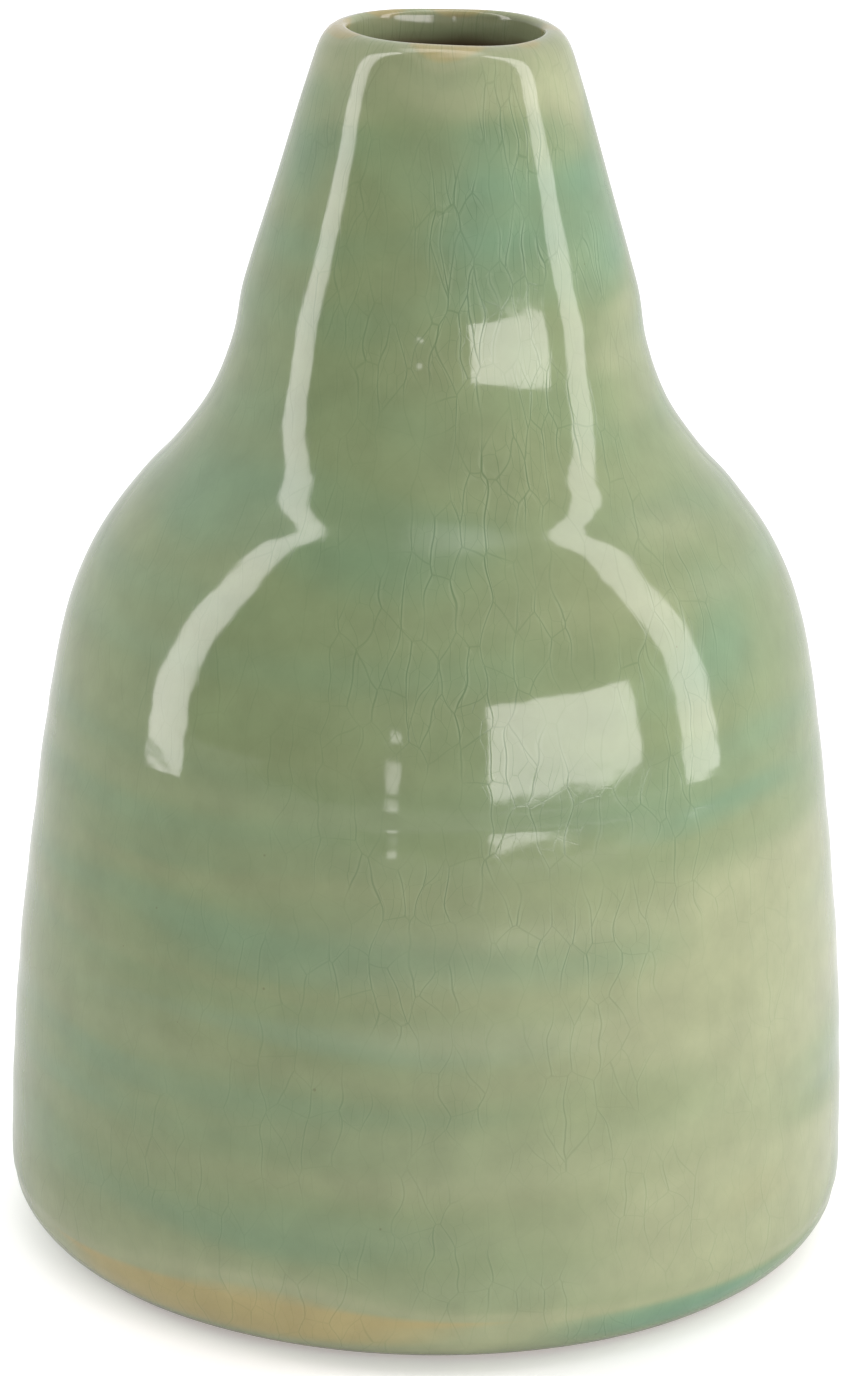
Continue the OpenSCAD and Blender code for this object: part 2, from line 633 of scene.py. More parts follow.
@dataclass
class GlazePaint:
    """Where the outer glaze ran thick or thin, how warm it fired, and how dark and brown it turns
    down the throat.

    The channels hold shares of 1: pool is the share that a pool of full strength adds, and
    warmest and most_cracked are the sums that stand for a full share.
    """

    height: float
    pool: float = 0.38
    warmest: float = 1.5
    most_cracked: float = 1.2
    crease_z: float = 6.3
    crease_r: float = 40.0
    throat_r: float = 12.5
    dark_throat_depth: float = 3.6
    wander: Drift = field(default_factory=lambda: Drift(21, 5, 16.0))
    bands: Drift = field(default_factory=lambda: Drift(22, 2, 5.0))
    strokes: Drift = field(default_factory=lambda: Drift(23, 9, 9.0))

    def channels(self, angle: Array, r: Array, z: Array) -> dict[Channel, Array]:
        """Values of each channel.

        Args:
            angle: Angles from the front, in radians.
            r: Radii, in millimetres.
            z: Heights, in millimetres.

        Returns:
            The value of each channel at each point.
        """
        strokes = self.strokes.at(angle, z)
        degrees = np.degrees(angle) + 4 * self.wander.at(angle, z)
        level = z + 1.1 * strokes * smooth(z, 3, 12)
        crease = hump(z, self.crease_z, 0.6) * (r > self.crease_r)
        depth = sum(pool.on(degrees, level) for pool in DEEP_POOLS) - 0.5 * crease
        depth = depth + 0.12 * self.bands.at(angle, z) + 0.08 * strokes
        warmth = sum(patch.on(degrees, level) for patch in WARM_PATCHES) + 0.4 * crease
        warmth = warmth + 0.08 * self.bands.at(angle + 1, z)
        cracks = sum(patch.on(degrees, level) for patch in CRACKED_PATCHES)
        # The throat turns darker and browner downwards, in full from a set depth below the top
        bare = self.height - self.dark_throat_depth
        stain = 0.85 * (r < self.throat_r) * smooth(z + 0.15 * strokes, bare + 1, bare)
        return {
            Channel.DEPTH: np.clip(0.5 + self.pool * depth, 0, 1),
            Channel.WARMTH: np.clip(warmth / self.warmest, 0, 1),
            Channel.CRACKS: np.clip((0.5 + cracks) / self.most_cracked, 0, 1),
            Channel.BROWNING: np.clip(stain, 0, 1),
        }


@dataclass
class ClayPaint:
    """How the bare clay toasted: most where the glaze stops."""

    edge_start: float = 39.8
    edge_full: float = 41.5
    drift: Drift = field(default_factory=lambda: Drift(31, 9, 6.0))

    def channels(self, angle: Array, r: Array, z: Array) -> dict[Channel, Array]:
        """Toasting of the clay, as the stain channel.

        Args:
            angle: Angles from the front, in radians.
            r: Radii, in millimetres.
            z: Not used.

        Returns:
            The value of the channel at each point.
        """
        edge = smooth(r, self.edge_start, self.edge_full)
        stain = np.clip(0.9 * edge + 0.18 * self.drift.at(angle, r) + 0.2, 0, 1)
        return {Channel.BROWNING: stain}


@dataclass
class LiningPaint:
    """The lining is thin on the wall, lies deep on the floor and browns towards the throat."""

    drift: Drift = field(default_factory=lambda: Drift(41, 4, 12.0))

    def channels(self, angle: Array, r: Array, z: Array) -> dict[Channel, Array]:
        """Depth and browning of the lining.

        Args:
            angle: Angles from the front, in radians.
            r: Not used.
            z: Heights, in millimetres.

        Returns:
            The value of each channel at each point.
        """
        depth = 0.35 + 0.5 * smooth(z, 22, 8) + 0.1 * self.drift.at(angle, z)
        return {Channel.DEPTH: np.clip(depth, 0, 1), Channel.BROWNING: smooth(z, 90, 124)}


# ---------------------------------------------------------------- meshes


@dataclass
class Lathe:
    """Turns curves into closed meshes round the axis."""

    hand: Hand
    segments: int = 256

    def turn(self, name: str, curve: Curve, paint: Paint) -> bpy.types.Object:
        """Builds one piece.

        Args:
            name: The piece's name.
            curve: Its refined outline.
            paint: What gives the values of its channels.

        Returns:
            The new object, at the origin.
        """
        rings, verts = self._rings(curve.points)
        angle = np.concatenate([self._angles(len(r)) for r in rings])
        r0 = np.concatenate([np.full(len(k), curve.points[i, 0]) for i, k in enumerate(rings)])
        z0 = np.concatenate([np.full(len(k), curve.points[i, 1]) for i, k in enumerate(rings)])
        r, z = self.hand.shift(angle, r0, z0)
        r = np.where(r0 < NO_LENGTH, 0, r)
        place = np.stack([r * np.sin(angle), -r * np.cos(angle), z], axis=1) * MM
        mesh = bpy.data.meshes.new(name)
        mesh.from_pydata(place.tolist(), [], self._faces(rings, curve.section.closed))
        mesh.update()
        mesh.shade_smooth()
        self._sharpen(mesh, rings, curve.hard, verts)
        for channel, values in paint.channels(angle, r0, z0).items():
            layer = mesh.attributes.new(channel.value, "FLOAT", "POINT")
            layer.data.foreach_set("value", values.astype(np.float32))
        piece = bpy.data.objects.new(name, mesh)
        bpy.context.scene.collection.objects.link(piece)
        return piece

    def _angles(self, count: int) -> Array:
        """Angles from the front of the points of one ring, or of a single point."""
        return np.arange(count) * TURN / count - math.pi if count > 1 else np.zeros(1)

    def _rings(self, points: Array) -> tuple[list[range], int]:
        """Numbers the vertices of each ring; a point on the axis has just one.

        Args:
            points: Radius and height of each ring.

        Returns:
            The vertex numbers of each ring, and their count.
        """
        rings, at = [], 0
        for radius, _ in points:
            count = 1 if radius < NO_LENGTH else self.segments
            rings.append(range(at, at + count))
            at += count
        return rings, at

    @staticmethod
    def _faces(rings: list[range], closed: bool) -> list[tuple[int, ...]]:
        """Lays faces between each ring and the next, wound so that they face outwards.

        Args:
            rings: The vertex numbers of each ring.
            closed: Whether the last ring is joined to the first.

        Returns:
            The vertex numbers of each face.
        """
        faces: list[tuple[int, ...]] = []
        pairs = list(zip(rings, rings[1:]))
        if closed:
            pairs.append((rings[-1], rings[0]))
        for low, high in pairs:
            count = max(len(low), len(high))
            for j in range(count):
                k = (j + 1) % count
                if len(low) == 1:
                    faces.append((low[0], high[k], high[j]))
                elif len(high) == 1:
                    faces.append((low[j], low[k], high[0]))
                else:
                    faces.append((low[j], low[k], high[k], high[j]))
        return faces

    @staticmethod
    def _sharpen(mesh: bpy.types.Mesh, rings: list[range], hard: Array, count: int) -> None:
        """Marks the edges along hard corners as sharp.

        Args:
            mesh: The mesh.
            rings: The vertex numbers of each ring.
            hard: Which rings lie on a corner.
            count: The number of vertices.
        """
        ring_of = np.empty(count, np.int32)
        for i, ring in enumerate(rings):
            ring_of[ring.start : ring.stop] = i
        edges = np.empty(len(mesh.edges) * 2, np.int32)
        mesh.edges.foreach_get("vertices", edges)
        a, b = ring_of[edges.reshape(-1, 2)].T
        sharp = (a == b) & hard[a]
        layer = mesh.attributes.new("sharp_edge", "BOOLEAN", "EDGE")
        layer.data.foreach_set("value", sharp)


# ---------------------------------------------------------------- node helpers


@dataclass
class Graph:
    """A node tree with short ways to add nodes and join them.

    Inputs are given by name with _ for a space, or by number with a leading n, and take an
    output socket or a plain value.
    """

    tree: bpy.types.NodeTree

    def join(self, value: object, socket: Socket) -> None:
        """Links an output socket to an input, or sets the input to a plain value.

        Args:
            value: The output socket or the value.
            socket: The input.
        """
        if isinstance(value, Socket):
            self.tree.links.new(value, socket)
        else:
            socket.default_value = value

    def feed(self, node: bpy.types.Node, **inputs: object) -> bpy.types.Node:
        """Feeds the inputs of a node.

        Args:
            node: The node.
            **inputs: Its inputs.

        Returns:
            The same node.
        """
        for key, value in inputs.items():
            numbered = key[0] == "n" and key[1:].isdigit()
            label = int(key[1:]) if numbered else key.replace("_", " ")
            self.join(value, node.inputs[label])
        return node

    def add(self, kind: str, settings: dict | None = None, **inputs: object) -> bpy.types.Node:
        """Adds a node.

        Args:
            kind: The node's type without its prefix ShaderNode.
            settings: Properties of the node.
            **inputs: Its inputs.

        Returns:
            The node.
        """
        node = self.tree.nodes.new("ShaderNode" + kind)
        for key, value in (settings or {}).items():
            setattr(node, key, value)
        return self.feed(node, **inputs)

    def group(self, tree: bpy.types.NodeTree, **inputs: object) -> bpy.types.NodeOutputs:
        """Adds a node group and returns its outputs."""
        return self.add("Group", {"node_tree": tree}, **inputs).outputs

    def math(self, operation: str, *values: object, clamp: bool = False) -> Socket:
        """Adds a Math node and returns its output."""
        inputs = {f"n{i}": v for i, v in enumerate(values)}
        return self.add("Math", {"operation": operation, "use_clamp": clamp}, **inputs).outputs[0]

    def vector(self, operation: str, **inputs: object) -> Socket:
        """Adds a Vector Math node and returns the output that its operation fills."""
        node = self.add("VectorMath", {"operation": operation}, **inputs)
        return node.outputs["Value" if operation == "LENGTH" else "Vector"]

    def axes(self, vector: Socket) -> bpy.types.NodeOutputs:
        """Takes a vector apart and returns its three parts."""
        return self.add("SeparateXYZ", n0=vector).outputs

    def flat(self, x: Socket, y: Socket) -> Socket:
        """Joins two values to a vector whose third part is 0."""
        return self.add("CombineXYZ", n0=x, n1=y).outputs[0]

    def ramp(self, fac: object, *stops: tuple[float, tuple]) -> Socket:
        """Adds a colour ramp.

        Args:
            fac: What drives it.
            *stops: Positions with their colours, from low to high.

        Returns:
            Its colour output.
        """
        node = self.add("ValToRGB", n0=fac)
        elements = node.color_ramp.elements
        elements[0].position = stops[0][0]
        elements[-1].position = stops[-1][0]
        for position, _ in stops[1:-1]:
            elements.new(position)
        for element, (_, colour) in zip(elements, stops):
            element.color = (*colour, 1.0)
        return node.outputs[0]

    def band(self, value: object, low: float, high: float) -> Socket:
        """Adds a smooth step from 0 to 1.

        Args:
            value: What drives it.
            low: Where it is 0, which may be above high.
            high: Where it is 1.

        Returns:
            Its output.
        """
        ends = (0.0, 1.0) if low < high else (1.0, 0.0)
        span = {"n1": min(low, high), "n2": max(low, high), "n3": ends[0], "n4": ends[1]}
        return self.add("MapRange", {"interpolation_type": "SMOOTHSTEP"}, n0=value, **span).outputs[0]

    def mix(self, fac: object, a: object, b: object, blend: str = "MIX") -> Socket:
        """Adds a colour mix.

        Args:
            fac: How much of b there is.
            a: The first colour, or an output socket.
            b: The second one.
            blend: How they are blended.

        Returns:
            Its colour output.
        """
        a, b = (c if isinstance(c, Socket) else (*c, 1.0) for c in (a, b))
        settings = {"data_type": "RGBA", "blend_type": blend}
        return self.add("Mix", settings, n0=fac, n6=a, n7=b).outputs[2]

    def painted(self, channel: Channel) -> Socket:
        """The value painted on the vertices under that name."""
        return self.add("Attribute", {"attribute_name": channel.value}).outputs["Fac"]

    def source(self) -> bpy.types.NodeOutputs:
        """What a group takes in."""
        return self.tree.nodes["Group Input"].outputs

    def give(self, **outputs: Socket) -> bpy.types.NodeTree:
        """Feeds what a group puts out, and returns the finished group."""
        self.feed(self.tree.nodes["Group Output"], **outputs)
        return self.tree


def new_group(name: str, takes: dict[str, str], gives: dict[str, str]) -> Graph:
    """Makes an empty node group with named sockets.

    Args:
        name: The group's name.
        takes: Input names with their socket types, such as Float or Vector.
        gives: Output names with their socket types.

    Returns:
        The graph, which holds an input node and an output node.
    """
    tree = bpy.data.node_groups.new(name, "ShaderNodeTree")
    for label, kind in takes.items():
        tree.interface.new_socket(label, in_out="INPUT", socket_type="NodeSocket" + kind)
    for label, kind in gives.items():
        tree.interface.new_socket(label, in_out="OUTPUT", socket_type="NodeSocket" + kind)
    tree.nodes.new("NodeGroupInput")
    tree.nodes.new("NodeGroupOutput")
    return Graph(tree)


@dataclass
class Effects:
    """The node groups that more than one finish uses.

    The cracks are bent by a noise of scale bend_scale, by up to half of bend in metres. They come
    in patches of scale patch_scale, between which the coarse net is down to faintest and the net
    that is finer times as fine is gone.
    """

    bend: float = 0.0034
    bend_scale: float = 150.0
    patch_scale: float = 90.0
    patch_edge: tuple[float, float] = (0.36, 0.58)
    faintest: float = 0.3
    finer: float = 2.2
    # Painted highlight beside the coarse cracks: gone at the first distance and full at the second,
    # in line widths
    rim: tuple[float, float] = (3.2, 1.2)
    seam_fade: float = 0.12
    crackle: bpy.types.NodeTree = field(init=False)
    unrolled: bpy.types.NodeTree = field(init=False)
    grain: bpy.types.NodeTree = field(init=False)

    def __post_init__(self) -> None:
        """Builds each group once."""
        self.crackle = self._crackle()
        self.unrolled = self._unrolled()
        self.grain = self._grain()

    def _crackle(self) -> bpy.types.NodeTree:
        """Net of fine cracks on the unrolled wall, with a second, finer net over it.

        Vector holds the way round and the way up, and all sizes are in metres. Tall is how many
        times taller than wide a cell is. Edge is a thin rim on both sides of the coarse cracks,
        where a pale highlight is painted.

        Returns:
            The group.
        """
        g = new_group(
            "crackle_net",
            {"Vector": "Vector", "Cell": "Float", "Tall": "Float", "Line": "Float"},
            {"Crack": "Float", "Edge": "Float"},
        )
        source = g.source()
        noise = g.add("TexNoise", n0=source["Vector"], Scale=self.bend_scale, Detail=1.0)
        centred = g.vector("SUBTRACT", n0=noise.outputs["Color"], n1=(0.5, 0.5, 0.5))
        pushed = g.vector("SCALE", n0=centred, Scale=self.bend)
        way = g.axes(g.vector("ADD", n0=source["Vector"], n1=pushed))
        squat = g.flat(way[0], g.math("DIVIDE", way[1], source["Tall"]))
        place = g.vector("SCALE", n0=squat, Scale=g.math("DIVIDE", 1.0, source["Cell"]))
        patches = g.add("TexNoise", n0=source["Vector"], Scale=self.patch_scale, Detail=1.0)
        presence = g.band(patches.outputs[0], *self.patch_edge)
        coarse, metres, upright = self._net(g, place, 1.0)
        fine, _, _ = self._net(g, place, self.finer)
        coarse = g.math("MULTIPLY", coarse, g.math("MAXIMUM", presence, self.faintest))
        fine = g.math("MULTIPLY", fine, g.math("MULTIPLY", presence, self.finer**-0.5))
        crack = g.math("MAXIMUM", coarse, fine, clamp=True)
        # Painted highlight: a thin pale rim on both sides of the coarse cracks
        wide = g.band(g.math("DIVIDE", metres, source["Line"]), *self.rim)
        rim = g.math("MULTIPLY", g.math("MULTIPLY", wide, upright), presence)
        return g.give(Crack=crack, Edge=g.math("MULTIPLY", rim, g.math("SUBTRACT", 1.0, crack)))

    @staticmethod
    def _net(g: Graph, place: Socket, scale: float) -> tuple[Socket, Socket, Socket]:
        """Lays one net inside the crackle group. Its level cracks are finer and fainter.

        Args:
            g: The group's graph.
            place: Place on the wall, where a cell of the coarse net is one unit wide.
            scale: How many times finer this net is.

        Returns:
            The mask of the cracks, how far away they are in metres, and how upright they run.
        """
        source = g.source()
        near, next_to, rim = (
            g.add("TexVoronoi", {"voronoi_dimensions": "2D", "feature": kind}, n0=place, Scale=scale)
            for kind in ("F1", "F2", "DISTANCE_TO_EDGE")
        )
        across = g.vector("SUBTRACT", n0=next_to.outputs["Position"], n1=near.outputs["Position"])
        level = g.axes(g.vector("NORMALIZE", n0=across))[1]
        upright = g.math("SUBTRACT", 1.0, g.math("MULTIPLY", level, level))
        strength = g.math("MULTIPLY_ADD", upright, 0.55, 0.45)
        metres = g.math("MULTIPLY", rim.outputs["Distance"], source["Cell"])
        width = g.math("MULTIPLY", source["Line"], strength)
        line = g.band(g.math("DIVIDE", metres, width), 1.0, 0.15)
        return g.math("MULTIPLY", line, strength), metres, upright

    def _unrolled(self) -> bpy.types.NodeTree:
        """Unrolls the wall.

        Vector gives the way round and the way up, in metres, where the way round is taken
        halfway between the true radius and the given one. Shown falls to 0 at the seam at the
        back, and Squeeze is how much wider the unrolled wall is than the true one.

        Returns:
            The group.
        """
        g = new_group(
            "unrolled",
            {"Vector": "Vector", "Radius": "Float"},
            {"Vector": "Vector", "Shown": "Float", "Squeeze": "Float"},
        )
        source = g.source()
        axes = g.axes(source["Vector"])
        angle = g.math("ARCTAN2", axes[0], g.math("MULTIPLY", axes[1], -1.0))
        radius = g.vector("LENGTH", n0=g.flat(axes[0], axes[1]))
        reach = g.math("MULTIPLY", g.math("ADD", radius, source["Radius"]), 0.5)
        return g.give(
            Vector=g.flat(g.math("MULTIPLY", angle, reach), axes[2]),
            Shown=g.band(g.math("ABSOLUTE", angle), math.pi, math.pi - self.seam_fade),
            Squeeze=g.math("DIVIDE", reach, radius),
        )

    @staticmethod
    def _grain() -> bpy.types.NodeTree:
        """Fine mottling and scattered dark specks of many sizes; all sizes are in metres.

        Returns:
            The group.
        """
        g = new_group(
            "fired_grain",
            {"Vector": "Vector", "Grain": "Float", "Speck": "Float", "Spacing": "Float"},
            {"Mottle": "Float", "Specks": "Float"},
        )
        source = g.source()
        grain = g.math("DIVIDE", 1.0, source["Grain"])
        mottle = g.add("TexNoise", n0=source["Vector"], Scale=grain, Detail=4.0, Roughness=0.6)
        spacing = g.math("DIVIDE", 1.0, source["Spacing"])
        cells = g.add("TexVoronoi", n0=source["Vector"], Scale=spacing)
        away = g.math("MULTIPLY", cells.outputs["Distance"], source["Spacing"])
        pick = g.add("SeparateColor", n0=cells.outputs["Color"]).outputs[0]
        smaller = g.math("ADD", 0.6, g.math("MULTIPLY", pick, 1.4))
        reach = g.math("MULTIPLY", g.math("DIVIDE", away, source["Speck"]), smaller)
        return g.give(Mottle=mottle.outputs[0], Specks=g.band(reach, 1.0, 0.5))


def new_material(name: str) -> tuple[bpy.types.Material, Graph, bpy.types.Node]:
    """Makes a material that holds only its Principled shader and output.

    Args:
        name: The material's name.

    Returns:
        The material, its graph and the Principled node.
    """
    material = bpy.data.materials.new(name)
    material.use_nodes = True
    g = Graph(material.node_tree)
    return material, g, material.node_tree.nodes["Principled BSDF"]


# ---------------------------------------------------------------- finishes


def mottled(g: Graph, body: Socket, mottle: Socket, low: Colour, high: Colour) -> Socket:
    """Shades a colour by the mottling.

    Args:
        g: The material's graph.
        body: The colour.
        mottle: The mottling, mostly from 0.3 to 0.7.
        low: What the colour is multiplied by where the mottling is low.
        high: What it is multiplied by where the mottling is high.

    Returns:
        The shaded colour.
    """
    return g.mix(1.0, body, g.ramp(mottle, (0.3, low), (0.7, high)), "MULTIPLY")


@dataclass(frozen=True)
class CeladonFinish:
    """Glossy grey-green glaze, blue-green where it lies deep, with a net of fine cracks."""

    thin: Colour = (0.202, 0.226, 0.118)
    usual: Colour = (0.168, 0.215, 0.113)
    deep: Colour = (0.113, 0.208, 0.132)
    warm: Colour = (0.248, 0.272, 0.160)
    iron: Colour = (0.075, 0.035, 0.018)
    tan: Colour = (0.35, 0.26, 0.1)
    stained_crack: Colour = (0.54, 0.66, 0.58)
    # Pale colour painted beside the coarse cracks as a highlight
    crack_highlight: Colour = (0.6, 0.68, 0.5)
    mottle_low: Colour = (0.9, 0.9, 0.89)
    mottle_high: Colour = (1.06, 1.06, 1.05)
    roughness: float = 0.07
    rougher_crack: float = 0.12
    ior: float = 1.5
    unroll_radius: float = 0.036
    cell: float = 0.0027
    cell_tall: float = 2.1
    line: float = 0.00012
    dimple: float = 0.00004
    crack_depth: float = 0.000004

    def build(self, effects: Effects) -> bpy.types.Material:
        """Makes the material.

        Args:
            effects: The shared node groups.

        Returns:
            The material.
        """
        material, g, shader = new_material("celadon")
        place = g.add("TexCoord").outputs["Object"]
        grain = g.group(effects.grain, Vector=place, Grain=0.006, Speck=0.00016, Spacing=0.006)
        skin = g.group(effects.unrolled, Vector=place, Radius=self.unroll_radius)
        net = g.group(
            effects.crackle,
            Vector=skin["Vector"],
            Cell=self.cell,
            Tall=self.cell_tall,
            Line=g.math("MULTIPLY", skin["Squeeze"], self.line),
        )
        shown = g.math("MULTIPLY", skin["Shown"], g.painted(Channel.CRACKS))
        crack = g.math("MULTIPLY", net["Crack"], shown)
        # Painted highlight: the pale rim beside the coarse cracks
        lit_rim = g.math("MULTIPLY", net["Edge"], g.math("MULTIPLY", shown, shown))
        body = mottled(g, self._pooled(g), grain["Mottle"], self.mottle_low, self.mottle_high)
        body = g.mix(crack, body, g.mix(1.0, body, self.stained_crack, "MULTIPLY"))
        body = g.mix(g.math("MULTIPLY", lit_rim, 0.1), body, self.crack_highlight)
        body = g.mix(g.math("MULTIPLY", grain["Specks"], 0.3), body, self.iron)
        g.feed(
            shader,
            # Darker and browner down the throat, by the values on the vertices
            Base_Color=g.mix(g.painted(Channel.BROWNING), body, self.iron),
            Roughness=g.math("MULTIPLY_ADD", crack, self.rougher_crack, self.roughness),
            IOR=self.ior,
            Normal=self._relief(g, place, crack),
        )
        return material

    def _pooled(self, g: Graph) -> Socket:
        """Colours the glaze by how deep it lies and how warm it fired.

        Args:
            g: The material's graph.

        Returns:
            The colour.
        """
        depth, warmth = g.painted(Channel.DEPTH), g.painted(Channel.WARMTH)
        body = g.ramp(depth, (0.0, self.thin), (0.5, self.usual), (1.0, self.deep))
        body = g.mix(g.band(warmth, 0.0, 0.6), body, self.warm)
        return g.mix(g.math("MULTIPLY", g.band(warmth, 0.68, 1.0), 0.6), body, self.tan)

    def _relief(self, g: Graph, place: Socket, crack: Socket) -> Socket:
        """Dimples the glaze slightly and sinks it a little at each crack.

        Args:
            g: The material's graph.
            place: Place on the bottle.
            crack: The mask of the cracks.

        Returns:
            The normal.
        """
        dimples = g.add("TexNoise", n0=place, Scale=260.0, Detail=1.5, Roughness=0.4).outputs[0]
        swell = g.add("Bump", Distance=self.dimple, Height=dimples).outputs[0]
        whole = g.math("SUBTRACT", 1.0, crack)
        return g.add("Bump", Distance=self.crack_depth, Height=whole, Normal=swell).outputs[0]


@dataclass(frozen=True)
class LiningFinish:
    """Thin olive glaze inside, browner towards the throat."""

    thin: Colour = (0.26, 0.27, 0.13)
    deep: Colour = (0.17, 0.24, 0.13)
    brown: Colour = (0.075, 0.045, 0.022)
    mottle_low: Colour = (0.82, 0.82, 0.8)
    mottle_high: Colour = (1.1, 1.1, 1.05)
    roughness: float = 0.12
    ior: float = 1.5
    unroll_radius: float = 0.036
    cell: float = 0.004
    cell_tall: float = 1.3
    line: float = 0.0002
    ripple: float = 0.00005

    def build(self, effects: Effects) -> bpy.types.Material:
        """Makes the material.

        Args:
            effects: The shared node groups.

        Returns:
            The material.
        """
        material, g, shader = new_material("lining")
        place = g.add("TexCoord").outputs["Object"]
        grain = g.group(effects.grain, Vector=place, Grain=0.008, Speck=0.0003, Spacing=0.007)
        skin = g.group(effects.unrolled, Vector=place, Radius=self.unroll_radius)
        net = g.group(
            effects.crackle,
            Vector=skin["Vector"],
            Cell=self.cell,
            Tall=self.cell_tall,
            Line=self.line,
        )
        body = g.ramp(g.painted(Channel.DEPTH), (0.0, self.thin), (1.0, self.deep))
        body = g.mix(g.painted(Channel.BROWNING), body, self.brown)
        body = mottled(g, body, grain["Mottle"], self.mottle_low, self.mottle_high)
        crack = g.math("MULTIPLY", net["Crack"], skin["Shown"])
        ripple = g.add("TexNoise", n0=place, Scale=200.0, Detail=2.0).outputs[0]
        g.feed(
            shader,
            Base_Color=g.mix(g.math("MULTIPLY", crack, 0.5), body, self.brown),
            Roughness=self.roughness,
            IOR=self.ior,
            Normal=g.add("Bump", Distance=self.ripple, Height=ripple).outputs[0],
        )
        return material


@dataclass(frozen=True)
class BareClayFinish:
    """Unglazed stoneware: matt and sandy, toasted brown along the glaze."""

    sandy: Colour = (0.40, 0.27, 0.15)
    toasted: Colour = (0.24, 0.115, 0.05)
    iron: Colour = (0.06, 0.035, 0.02)
    mottle_low: Colour = (0.72, 0.7, 0.66)
    mottle_high: Colour = (1.15, 1.14, 1.1)
    roughness: float = 0.8
    tool_pitch: float = 0.0011
    roughcast: float = 0.00015

    def build(self, effects: Effects) -> bpy.types.Material:
        """Makes the material.

        Args:
            effects: The shared node groups.

        Returns:
            The material.
        """
        material, g, shader = new_material("bare_stoneware")
        place = g.add("TexCoord").outputs["Object"]
        grain = g.group(effects.grain, Vector=place, Grain=0.0012, Speck=0.0003, Spacing=0.0024)
        body = g.mix(g.painted(Channel.BROWNING), self.sandy, self.toasted)
        body = mottled(g, body, grain["Mottle"], self.mottle_low, self.mottle_high)
        axes = g.axes(place)
        away = g.vector("LENGTH", n0=g.flat(axes[0], axes[1]))
        tool_lines = g.math("SINE", g.math("MULTIPLY", away, TURN / self.tool_pitch))
        height = g.math("MULTIPLY_ADD", tool_lines, 0.25, grain["Mottle"])
        g.feed(
            shader,
            Base_Color=g.mix(g.math("MULTIPLY", grain["Specks"], 0.8), body, self.iron),
            Roughness=self.roughness,
            Normal=g.add("Bump", Distance=self.roughcast, Height=height).outputs[0],
        )
        return material


# ---------------------------------------------------------------- the bottle


@dataclass
class Bottle:
    """The thrown bottle: clay, outer glaze and lining, each in its own piece.

    The steps are how closely the points of each outline lie, in millimetres.
    """

    foot_step: float = 0.6
    glaze_step: float = 0.8
    lining_step: float = 1.2
    pieces: list[bpy.types.Object] = field(default_factory=list)

    def build(self) -> None:
        """Builds and dresses the three pieces."""
        clay = Section("stoneware_body")
        glaze = Section("celadon_glaze")
        lining = Section("lining_glaze")
        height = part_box("celadon_glaze")[1].z / MM
        lathe = Lathe(Hand(glaze, lining, height))
        effects = Effects()
        covered = clay.shared_with(glaze) | clay.shared_with(lining)
        body = lathe.turn("turned_stoneware_body", Curve(clay, covered, self.foot_step), ClayPaint())
        self._add(body, BareClayFinish().build(effects), "stoneware_body")
        outside = Curve(glaze, glaze.shared_with(clay), self.glaze_step)
        coat = lathe.turn("crackled_celadon_coat", outside, GlazePaint(height))
        self._add(coat, CeladonFinish().build(effects), "celadon_glaze")
        inside = Curve(lining, lining.shared_with(clay), self.lining_step)
        poured = lathe.turn("poured_lining_coat", inside, LiningPaint())
        self._add(poured, LiningFinish().build(effects), "lining_glaze")

    def _add(
        self, piece: bpy.types.Object, material: bpy.types.Material, node: str
    ) -> None:
        """Dresses a piece and ties it to the frame.

        Args:
            piece: The new piece.
            material: Its material.
            node: The CAD node it stands for.
        """
        piece.data.materials.append(material)
        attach(piece, "root")
        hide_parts(node)
        self.pieces.append(piece)


# ---------------------------------------------------------------- the studio


@dataclass(frozen=True)
class Panel:
    """A flat light, lit evenly, that faces the bottle's axis.

    The azimuth is counted from the front, positive to the right, as seen from the bottle, in
    degrees. The panel reaches from low to high above the table, and lengths are in metres.
    """

    name: str
    azimuth: float
    distance: float
    width: float
    low: float
    high: float
    radiance: float
    colour: Colour = (1.0, 0.95, 0.94)

    def place(self) -> bpy.types.Object:
        """Adds the light.

        Returns:
            The light.
        """
        data = bpy.data.lights.new(self.name, "AREA")
        data.shape = "RECTANGLE"
        data.size = self.width
        data.size_y = self.high - self.low
        data.energy = self.radiance * 4 * data.size * data.size_y
        data.color = self.colour
        turn = math.radians(self.azimuth)
        outwards = Vector((math.sin(turn), -math.cos(turn), 0))
        light = bpy.data.objects.new(self.name, data)
        light.location = outwards * self.distance + Vector((0, 0, (self.low + self.high) / 2))
        light.rotation_euler = (-outwards).to_track_quat("-Z", "Y").to_euler()
        light.visible_camera = False
        bpy.context.scene.collection.objects.link(light)
        return light


PANELS = (
    Panel("front_softbox", 40, 1.0, 0.86, 0.04, 0.405, 5.2),
    Panel("left_strip", -77.2, 0.226, 0.052, 0.046, 0.62, 4.8),
    Panel("right_strip", 78.7, 0.224, 0.052, 0.044, 0.62, 4.1),
    Panel("upper_lamp", -10.3, 1.0, 0.056, 0.185, 0.230, 4.0),
    Panel("middle_lamp", -10.3, 1.0, 0.056, 0.066, 0.110, 4.0),
    Panel("lower_lamp", -10.3, 1.0, 0.056, 0.006, 0.040, 4.0),
)


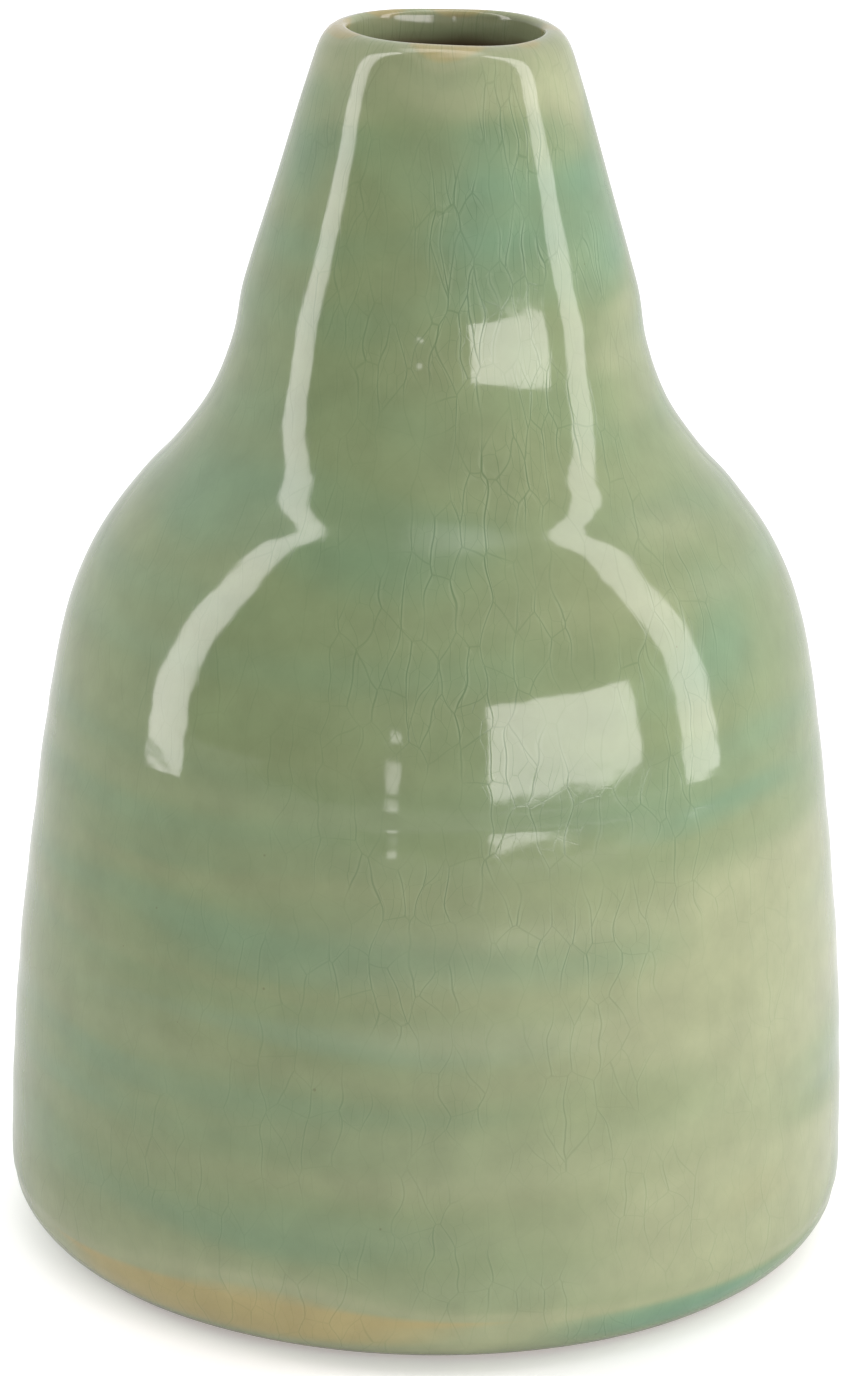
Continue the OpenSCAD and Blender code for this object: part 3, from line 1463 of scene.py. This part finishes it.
@dataclass(frozen=True)
class Table:
    """A flat pale table that glows a little, more towards the back, as a light table does.

    Glossy rays see it darker, so that it doesn't drown the glaze's own colour.
    """

    size: float = 5.0
    pale: Colour = (0.86, 0.86, 0.85)
    mirrored: Colour = (0.56, 0.56, 0.56)
    roughness: float = 0.9
    specular: float = 0.1
    glow_front: tuple[float, float] = (-0.2, 0.12)
    glow_back: tuple[float, float] = (0.1, 0.42)
    glow_mirrored: float = 0.5

    def build(self) -> None:
        """Lays the table under the bottle."""
        half = self.size / 2
        mesh = bpy.data.meshes.new("table")
        corners = [(-half, -half, 0), (half, -half, 0), (half, half, 0), (-half, half, 0)]
        mesh.from_pydata(corners, [], [(0, 1, 2, 3)])
        mesh.materials.append(self._material())
        table = bpy.data.objects.new("table", mesh)
        bpy.context.scene.collection.objects.link(table)

    def _material(self) -> bpy.types.Material:
        """Makes the table's material.

        Returns:
            The material.
        """
        material, g, shader = new_material("pale_table")
        glossy = g.add("LightPath").outputs["Is Glossy Ray"]
        (front, faint), (back, bright) = self.glow_front, self.glow_back
        depth = g.axes(g.add("TexCoord").outputs["Object"])[1]
        glow = g.add("MapRange", n0=depth, n1=front, n2=back, n3=faint, n4=bright).outputs[0]
        seen = g.math("MULTIPLY_ADD", glossy, self.glow_mirrored - 1, 1.0)
        g.feed(
            shader,
            Base_Color=g.mix(glossy, self.pale, self.mirrored),
            Roughness=self.roughness,
            Specular_IOR_Level=self.specular,
            Emission_Color=(1, 1, 1, 1),
            Emission_Strength=g.math("MULTIPLY", glow, seen),
        )
        return material


@dataclass(frozen=True)
class Room:
    """Walls of the studio, as light by the direction round the table, and a lit ceiling.

    Each wall entry is a bearing in degrees from the front, positive to the right, with the
    light from there. Overhead is added where the sine of the elevation passes ceiling.
    """

    walls: tuple[tuple[float, float], ...] = (
        (-180, 1.15),
        (-84, 0.95),
        (-77, 0.03),
        (-40, 0.03),
        (-12, 0.3),
        (25, 0.6),
        (70, 0.7),
        (88, 1.05),
        (180, 1.15),
    )
    overhead: float = 2.6
    ceiling: tuple[float, float] = (0.9, 0.97)
    mirrored: float = 0.8

    def build(self) -> None:
        """Lights the world."""
        world = bpy.data.worlds.new("studio_walls")
        world.use_nodes = True
        bpy.context.scene.world = world
        g = Graph(world.node_tree)
        axes = g.axes(g.add("TexCoord").outputs["Generated"])
        bearing = g.math("ARCTAN2", axes[0], g.math("MULTIPLY", axes[1], -1.0))
        share = g.math("MULTIPLY_ADD", bearing, 1 / TURN, 0.5)
        stops = [((degrees + 180) / 360, (light,) * 3) for degrees, light in self.walls]
        glossy = g.add("LightPath").outputs["Is Glossy Ray"]
        seen = g.math("MULTIPLY_ADD", glossy, self.mirrored - 1, 1.0)
        above = g.math("MULTIPLY", g.band(axes[2], *self.ceiling), self.overhead)
        back = world.node_tree.nodes["Background"]
        g.feed(back, Color=g.ramp(share, *stops), Strength=g.math("ADD", seen, above))


@dataclass(frozen=True)
class Camera:
    """A long lens from a little above the mouth; its place is in metres and its angles in degrees."""

    place: tuple[float, float, float] = (0, -0.4725, 0.2070)
    pan: float = 0.129
    down: float = 17.13
    roll: float = 1.0
    lens: float = 116.54
    sensor: float = 36.0
    nearest: float = 0.01

    def build(self) -> None:
        """Sets the scene's camera and its plain view of colours."""
        data = bpy.data.cameras.new("camera")
        data.lens = self.lens
        data.sensor_width = self.sensor
        data.clip_start = self.nearest
        camera = bpy.data.objects.new("camera", data)
        pan = Matrix.Rotation(math.radians(self.pan), 4, "Z")
        tilt = Matrix.Rotation(math.radians(90 - self.down), 4, "X")
        roll = Matrix.Rotation(math.radians(self.roll), 4, "Z")
        camera.matrix_world = Matrix.Translation(self.place) @ pan @ tilt @ roll
        bpy.context.scene.collection.objects.link(camera)
        bpy.context.scene.camera = camera
        bpy.context.scene.view_settings.view_transform = "Standard"


def main() -> None:
    """Builds the bottle and the studio, and reports each piece."""
    logging.basicConfig(level=logging.INFO)
    bottle = Bottle()
    bottle.build()
    for piece in bottle.pieces:
        LOG.info("%s: %d faces", piece.name, len(piece.data.polygons))
    Table().build()
    Room().build()
    for panel in PANELS:
        LOG.info("light: %s", panel.place().name)
    Camera().build()


if __name__ == "__main__":
    main()
